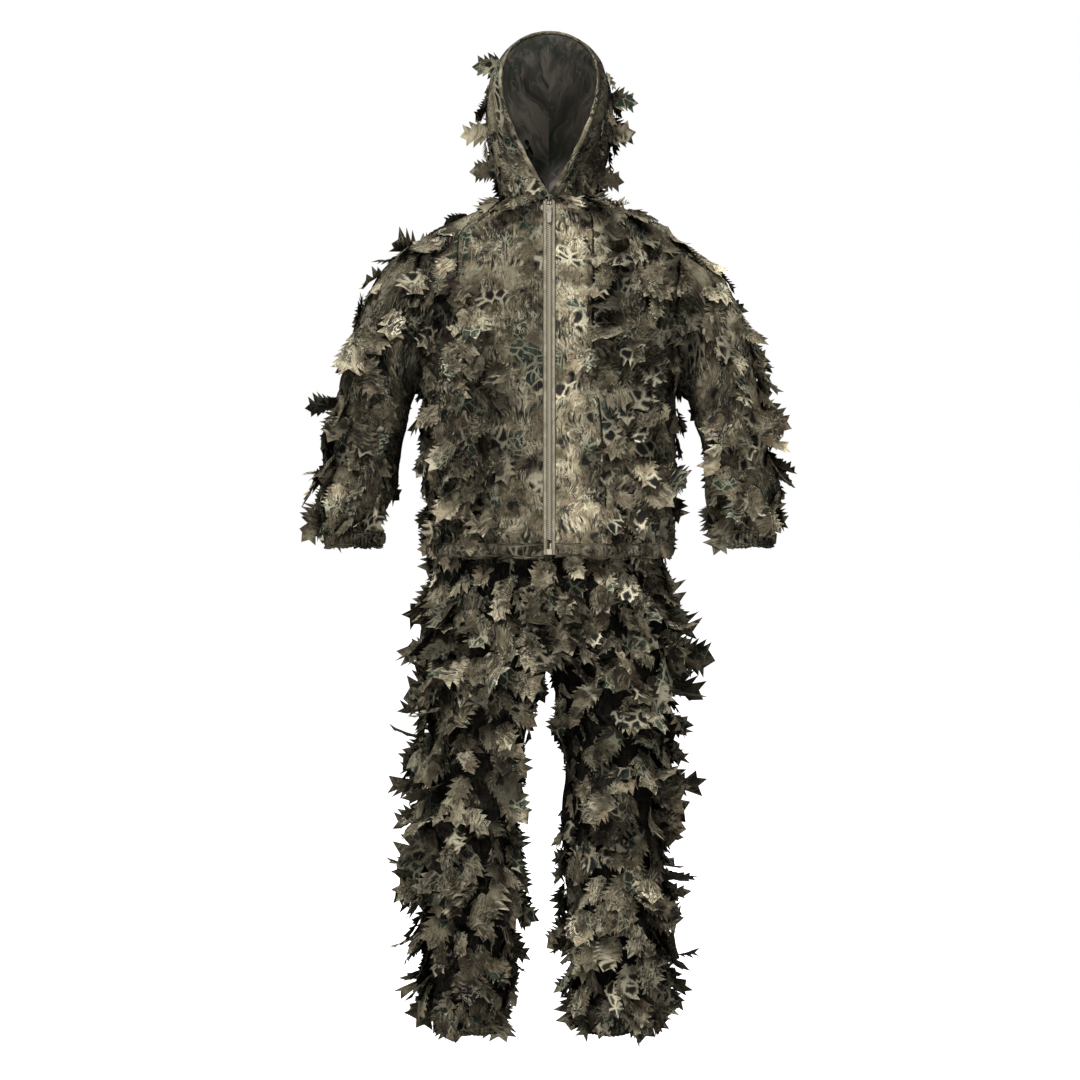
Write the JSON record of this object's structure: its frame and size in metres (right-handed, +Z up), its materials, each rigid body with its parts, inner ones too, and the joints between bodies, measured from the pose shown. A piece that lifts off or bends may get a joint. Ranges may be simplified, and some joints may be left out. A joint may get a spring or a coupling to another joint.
{
  "type": "leaf camouflage suit",
  "caption": "Hooded two-piece camouflage suit covered in sewn-on leaf fabric: zip-front jacket with elastic cuffs and hem, and elastic-waisted trousers.",
  "frame": {"origin": "centre of the trousers' waist opening, at the top edge of the waistband", "axes": "+Z up, -Y to the suit's front, +X to the wearer's left"},
  "size_m": [0.8318, 0.312, 1.7736],
  "materials": {
    "printed_fabric": "woodland print on soft woven polyester",
    "leaf_fabric": "leaf shapes cut from printed polyester",
    "elastic": "woven elastic",
    "zip_tape": "woven zip tape",
    "zip_plastic": "moulded teeth",
    "zip_metal": "enamelled slider"
  },
  "bodies": {
    "trousers": {"trousers_front_left": "printed_fabric", "trousers_front_right": "printed_fabric", "trousers_back_left": "printed_fabric", "trousers_back_right": "printed_fabric", "waistband_casing": "printed_fabric", "waist_elastic": "elastic", "ankle_casing_left": "printed_fabric", "ankle_casing_right": "printed_fabric", "ankle_elastic_left": "elastic", "ankle_elastic_right": "elastic", "seat_leaf_layer_front": "leaf_fabric", "seat_leaf_layer_back": "leaf_fabric", "leg_leaf_layer_left": "leaf_fabric", "leg_leaf_layer_right": "leaf_fabric"},
    "jacket": {"jacket_front_left": "printed_fabric", "jacket_front_right": "printed_fabric", "jacket_back": "printed_fabric", "jacket_hem_casing": "printed_fabric", "jacket_hem_elastic": "elastic", "jacket_leaf_layer_front_left": "leaf_fabric", "jacket_leaf_layer_front_right": "leaf_fabric", "jacket_leaf_layer_back": "leaf_fabric", "zip_tape_left": "zip_tape", "zip_tape_right": "zip_tape", "zip_teeth_left": "zip_plastic", "zip_teeth_right": "zip_plastic", "zip_top_stop_left": "zip_plastic", "zip_top_stop_right": "zip_plastic", "zip_insertion_pin": "zip_plastic", "zip_retainer_box": "zip_plastic"},
    "hood": {"hood_left": "printed_fabric", "hood_right": "printed_fabric", "hood_face_binding": "printed_fabric", "hood_leaf_layer_left": "leaf_fabric", "hood_leaf_layer_right": "leaf_fabric"},
    "zip_slider": {"zip_slider_body": "zip_metal"},
    "zip_pull": {"zip_pull_tab": "zip_metal"},
    "sleeve_left": {"sleeve_left": "printed_fabric", "sleeve_leaf_layer_left": "leaf_fabric", "cuff_casing_left": "printed_fabric", "cuff_elastic_left": "elastic"},
    "sleeve_right": {"sleeve_right": "printed_fabric", "sleeve_leaf_layer_right": "leaf_fabric", "cuff_casing_right": "printed_fabric", "cuff_elastic_right": "elastic"}
  },
  "joints": [
    {"name": "jacket_lift", "type": "slide", "parent": "trousers", "child": "jacket", "axis": [0, 0, 1], "range_m": [0, 0.3]},
    {"name": "hood_fold", "type": "hinge", "parent": "jacket", "child": "hood", "pos_m": [0, 0.09, 0.44], "axis": [-1, 0, 0], "range_deg": [0, 70]},
    {"name": "sleeve_left_raise", "type": "hinge", "parent": "jacket", "child": "sleeve_left", "pos_m": [0.2323, 0, 0.38], "axis": [0, -1, 0], "range_deg": [0, 70]},
    {"name": "sleeve_right_raise", "type": "hinge", "parent": "jacket", "child": "sleeve_right", "pos_m": [-0.2323, 0, 0.38], "axis": [0, 1, 0], "range_deg": [0, 70]},
    {"name": "zip_slide", "type": "slide", "parent": "jacket", "child": "zip_slider", "axis": [0, -0.0833, -0.9965], "range_m": [0, 0.575]},
    {"name": "pull_tab_flip", "type": "hinge", "parent": "zip_slider", "child": "zip_pull", "pos_m": [0, -0.10883, 0.41118], "axis": [-1, 0, 0], "range_deg": [0, 150]}
  ]
}
